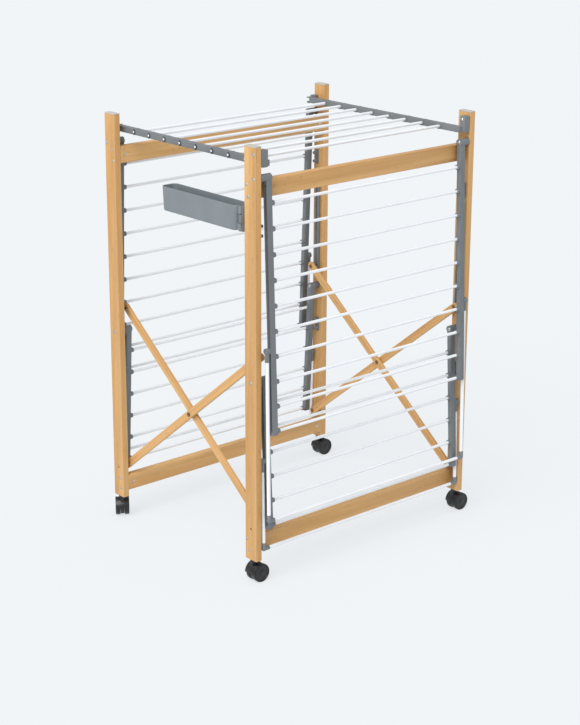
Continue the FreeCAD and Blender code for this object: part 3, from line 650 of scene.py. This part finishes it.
screws = {"railHead": 0.0040, "pivotHead": 0.0046, "spread": 0.028, "stagger": 0.006}
for frameName, face in frameSides.items():
    for endName, side in rackEnds.items():
        low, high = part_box(f"{frameName}_{endName}_post")
        outerX = high.x if side > 0 else low.x
        railPoints = []
        for level in ("top", "bottom"):
            middle = boxMiddle(f"{frameName}_{level}_rail")
            for up in (1, -1):
                railPoints.append((outerX, middle.y + up * screws["stagger"] / 2,
                                   middle.z + up * screws["spread"] / 2))
        railHeads = screwHeads(f"{frameName}_{endName}_rail_screw_heads", railPoints, side,
                               screws["railHead"])
        finishPiece(railHeads, f"{frameName}_frame", "zinc")
        pivots = [jointPlace(f"{frameName}_{level}_wing_swing") for level in ("upper", "lower")]
        if face < 0:
            pivots.append(jointPlace("panel_swing"))
        pivotPoints = [(outerX, p.y, p.z) for p in pivots]
        pivotHeads = screwHeads(f"{frameName}_{endName}_pivot_heads", pivotPoints, side,
                                screws["pivotHead"])
        finishPiece(pivotHeads, f"{frameName}_frame", "zinc")
hardware = {
    "rail_screws": ("zincPlate", "zinc"),
    "pivot_screws": ("zincPlate", "zinc"),
    "brace_pins": ("bronzePlate", "bronze"),
    "rail_pins": ("zincPlate", "steel"),
    "caster_sockets": ("blackPlastic", "black_plastic"),
}
for node, (material, slot) in hardware.items():
    for frameName in frameSides:
        easedCopy(f"{frameName}_{node}", f"{frameName}_{node}_set", material, slot, 0)
for node in ("rising_brace_rivets", "falling_brace_rivets"):
    easedCopy(node, node + "_set", "bronzePlate", "bronze", 0.0003)
makeRodEnds()
print("rods, screws and pins: done")


trayShape = {
    "corner": 0.0145,
    "wall": 0.0024,
    "taperEnds": 0.003,
    "taperSides": 0.001,
    "foot": 0.0045,      # radius between the walls and the floor
    "lip": 0.0014,       # radius of the rolled rim
    "cornerSteps": 9,
    "footSteps": 5,
    "wallSteps": 4,
    "lipSteps": 8,
    "endPast": 0.035,    # from the near post's middle to the tub's near end
    "leastCorner": 0.002,
}
trayHinge = {
    "bore": 0.0021,
    "barrel": 0.0045,
    "edge": 0.0006,
    "segments": 24,
    "endGap": 0.001,     # from a barrel's end to the rim, the floor or the middle third
    "armSet": 0.002,
    "armWide": 0.0150,
    "armInto": 0.006,    # how far an arm reaches into the tub's end wall
    "armShort": 0.001,
}


def roundedRectangle(halfX, halfY, corner, z, steps):
    points = []
    for quarter, (a, b) in enumerate(((1, 1), (-1, 1), (-1, -1), (1, -1))):
        for k in range(steps + 1):
            turn = math.radians(90 * quarter + 90 * k / steps)
            points.append((a * (halfX - corner) + corner * math.cos(turn),
                           b * (halfY - corner) + corner * math.sin(turn), z))
    return points


def makeTray():
    # rings from the outer floor's edge, up the outside, over the lip and down the inside
    low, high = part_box("peg_tray")
    hinge = jointPlace("tray_swing")
    shape = trayShape
    nearEnd = boxMiddle("near_left_post").y + shape["endPast"]
    halfX = (high.x - low.x) / 2
    halfY = (high.y - nearEnd) / 2
    centre = Vector(((high.x + low.x) / 2, (high.y + nearEnd) / 2, low.z))
    tall = high.z - low.z
    rings = []

    def ring(inset, z):
        rise = z / tall
        x = halfX - shape["taperSides"] * (1 - rise) - inset
        y = halfY - shape["taperEnds"] * (1 - rise) - inset
        corner = max(shape["corner"] - inset, shape["leastCorner"])
        rings.append(roundedRectangle(x, y, corner, z, shape["cornerSteps"]))

    foot, wall, lip = shape["foot"], shape["wall"], shape["lip"]
    footSteps, wallSteps, lipSteps = shape["footSteps"], shape["wallSteps"], shape["lipSteps"]
    for k in range(footSteps + 1):
        turn = math.radians(90 * k / footSteps)
        ring(foot * (1 - math.sin(turn)), foot * (1 - math.cos(turn)))
    for k in range(1, wallSteps + 1):
        ring(0, foot + (tall - lip - foot) * k / wallSteps)
    for k in range(1, lipSteps + 1):
        turn = math.radians(180 * k / lipSteps)
        ring(wall / 2 * (1 - math.cos(turn)), tall - lip + lip * math.sin(turn))
    for k in range(1, wallSteps + 1):
        ring(wall, tall - lip - (tall - lip - foot - wall) * k / wallSteps)
    for k in range(1, footSteps + 1):
        turn = math.radians(90 * k / footSteps)
        ring(wall + foot * (1 - math.cos(turn)), wall + foot * (1 - math.sin(turn)))

    form = bmesh.new()
    loops = [[form.verts.new(Vector(p) + centre) for p in points] for points in rings]
    count = len(loops[0])
    for a, b in zip(loops, loops[1:]):
        for k in range(count):
            n = (k + 1) % count
            form.faces.new((a[k], a[n], b[n], b[k]))
    form.faces.new(list(reversed(loops[0])))
    form.faces.new(loops[-1])

    # two hinge barrels and the arms that carry them
    h = trayHinge
    gap, short = h["endGap"], h["armShort"]
    bore, outer, edge = h["bore"], h["barrel"], h["edge"]
    upright = Matrix.Rotation(math.radians(-90), 4, "Y")
    for zLow, zHigh in ((gap, tall / 3 - gap), (2 * tall / 3 + gap, tall - gap)):
        lift = Matrix.Translation((hinge.x, hinge.y, low.z + zLow)) @ upright
        long = zHigh - zLow
        profile = [(0, bore), (0, outer - edge)]
        profile += [(edge, outer), (long - edge, outer)]
        profile += [(long, outer - edge), (long, bore), (0, bore)]
        lathe(form, profile, h["segments"], lift)
        armLow = Vector((hinge.x, hinge.y + h["armSet"], low.z + zLow + short))
        armHigh = Vector((hinge.x + h["armWide"], nearEnd + h["armInto"], low.z + zHigh - short))
        block = bmesh.ops.create_cube(form, size=1.0)
        size = armHigh - armLow
        place = Matrix.Translation((armLow + armHigh) / 2) @ Matrix.Diagonal((*size, 1))
        bmesh.ops.transform(form, matrix=place, verts=block["verts"])
    piece = settle(meshFrom(form, "clip_on_tray", "trayPlastic"), "clip_on_tray")
    smoothByAngle(piece.data, 40)
    return finishPiece(piece, "tray", "tray_plastic", "peg_tray")


makeTray()
print("tray: done")


wheelShape = {
    "radius": 0.0235,
    "thick": 0.013,
    "gap": 0.005,          # half the gap between the two wheels
    "round": 0.0034,
    "dish": 0.0018,        # how deep the disc sits inside the rim
    "rimWidth": 0.0035,
    "hubRadius": 0.0075,
    "capWall": 0.0008,
    "bore": 0.00306,
    "rimEdge": 0.0006,     # the small slopes at the rim's inner corner
    "rimStep": 0.0005,
    "dishEdge": 0.0008,
    "hubSlope": 0.0012,
    "hubLift": 0.3,        # the hub's shoulder, as a share of the dish
    "capSet": 0.0002,
    "capEdge": 0.0008,
    "roundSteps": 6,
    "segments": 56,
}


def wheelProfile(way):
    # one wheel's section from its inner hole round to the hole again
    s = wheelShape
    inner, outer = s["gap"], s["gap"] + s["thick"]
    bore, hub, edge, steps = s["bore"], s["hubRadius"], s["round"], s["roundSteps"]
    shoulder = s["radius"] - edge
    points = [(inner, bore), (inner, shoulder)]
    points += arcPoints(inner + edge, shoulder, edge, 180, 90, steps)[1:]
    points += arcPoints(outer - edge, shoulder, edge, 90, 0, steps)
    rim = s["radius"] - s["rimWidth"]
    floor = outer - s["dish"]
    points += [(outer, rim + s["rimEdge"]), (outer - s["rimStep"], rim)]
    points += [(floor, rim - s["dishEdge"]), (floor, hub + s["hubSlope"])]
    points += [(outer - s["dish"] * s["hubLift"], hub)]
    cap = outer - s["capSet"]
    points += [(cap, hub - s["capEdge"]), (cap, 0)]
    points += [(cap - s["capWall"], 0), (cap - s["capWall"], bore), (inner, bore)]
    return [(way * along, radius) for along, radius in points]


def makeWheels(label, centre, axle):
    form = bmesh.new()
    turn = Vector((1, 0, 0)).rotation_difference(axle).to_matrix().to_4x4()
    for way in (1, -1):
        lathe(form, wheelProfile(way), wheelShape["segments"],
              Matrix.Translation(centre) @ turn)
    bmesh.ops.remove_doubles(form, verts=form.verts, dist=1e-7)
    piece = settle(meshFrom(form, label + "_tyres", "blackPlastic"), label + "_tyres")
    smoothByAngle(piece.data, 30)
    return piece


for frameName in frameSides:
    for endName in rackEnds:
        label = f"{frameName}_{endName}_caster"
        spin = joints[f"{label}_wheels_pair_spin"]
        centre = Vector(spin["pos_m"])
        axle = Vector(spin["axis"]).normalized()
        finishPiece(makeWheels(label, centre, axle), f"{label}_wheels_pair", "black_plastic",
                    f"{label}_wheels")
        easedCopy(f"{label}_fork", f"{label}_body", "blackPlastic", "black_plastic", 0.0004)
        easedCopy(f"{label}_axle", f"{label}_axle_pin", "zincPlate", "steel", 0.0003)
print("casters: done")


stageSettings = {
    "floorSize": 80.0,
    "floorColour": (0.180, 0.187, 0.192, 1),
    "floorGlow": (0.656, 0.679, 0.694, 1),
    "skyColour": (0.880, 0.913, 0.939, 1),
    "skyLight": (0.62, 0.63, 0.65, 1),
    "sunStrength": 2.6,
    "sunSpread": 50.0,
    "sunTurn": (42.0, 0.0, -70.0),
    "floorRough": 0.9,
}


def makeStage():
    s = stageSettings
    form = bmesh.new()
    bmesh.ops.create_grid(form, x_segments=1, y_segments=1, size=s["floorSize"] / 2)
    mesh = bpy.data.meshes.new("floor")
    form.to_mesh(mesh)
    form.free()
    floor = settle(mesh, "floor")
    material = bpy.data.materials.new("paleFloor")
    material.use_nodes = True
    principled = material.node_tree.nodes["Principled BSDF"]
    principled.inputs["Base Color"].default_value = s["floorColour"]
    principled.inputs["Emission Color"].default_value = s["floorGlow"]
    principled.inputs["Emission Strength"].default_value = 1.0
    principled.inputs["Roughness"].default_value = s["floorRough"]
    principled.inputs["Specular IOR Level"].default_value = 0.0
    mesh.materials.append(material)

    world = bpy.data.worlds.new("softStudio")
    world.use_nodes = True
    tree = world.node_tree
    background = tree.nodes["Background"]
    path = tree.nodes.new("ShaderNodeLightPath")
    choice = tree.nodes.new("ShaderNodeMix")
    choice.data_type = "RGBA"
    choice.inputs[6].default_value = s["skyLight"]
    choice.inputs[7].default_value = s["skyColour"]
    tree.links.new(path.outputs["Is Camera Ray"], choice.inputs[0])
    tree.links.new(choice.outputs[2], background.inputs["Color"])
    bpy.context.scene.world = world

    sun = bpy.data.lights.new("keyLight", "SUN")
    sun.energy = s["sunStrength"]
    sun.angle = math.radians(s["sunSpread"])
    sunObject = bpy.data.objects.new("keyLight", sun)
    sunObject.rotation_euler = [math.radians(angle) for angle in s["sunTurn"]]
    bpy.context.scene.collection.objects.link(sunObject)
    bpy.context.scene.view_settings.view_transform = "Standard"


cameraSettings = {
    "turn": -41.205,
    "tilt": 18.097,
    "roll": 0.242,
    "away": 4.4045,
    "aim": (-0.1675, -0.1856, 0.5),
    "lens": 89.29,
    "sensor": 36.0,
    "farClip": 200.0,
}


def makeCamera():
    c = cameraSettings
    turn = Matrix.Rotation(math.radians(c["turn"]), 4, "Z")
    tilt = Matrix.Rotation(math.radians(90 - c["tilt"]), 4, "X")
    roll = Matrix.Rotation(math.radians(c["roll"]), 4, "Z")
    facing = turn @ tilt @ roll
    lens = bpy.data.cameras.new("camera")
    lens.lens = c["lens"]
    lens.sensor_width = c["sensor"]
    lens.clip_end = c["farClip"]
    camera = bpy.data.objects.new("camera", lens)
    back = (facing @ Vector((0, 0, 1, 0))).to_3d()
    camera.matrix_world = Matrix.Translation(Vector(c["aim"]) + back * c["away"]) @ facing
    bpy.context.scene.collection.objects.link(camera)
    bpy.context.scene.camera = camera


makeStage()
makeCamera()
print("stage, light and camera: done")
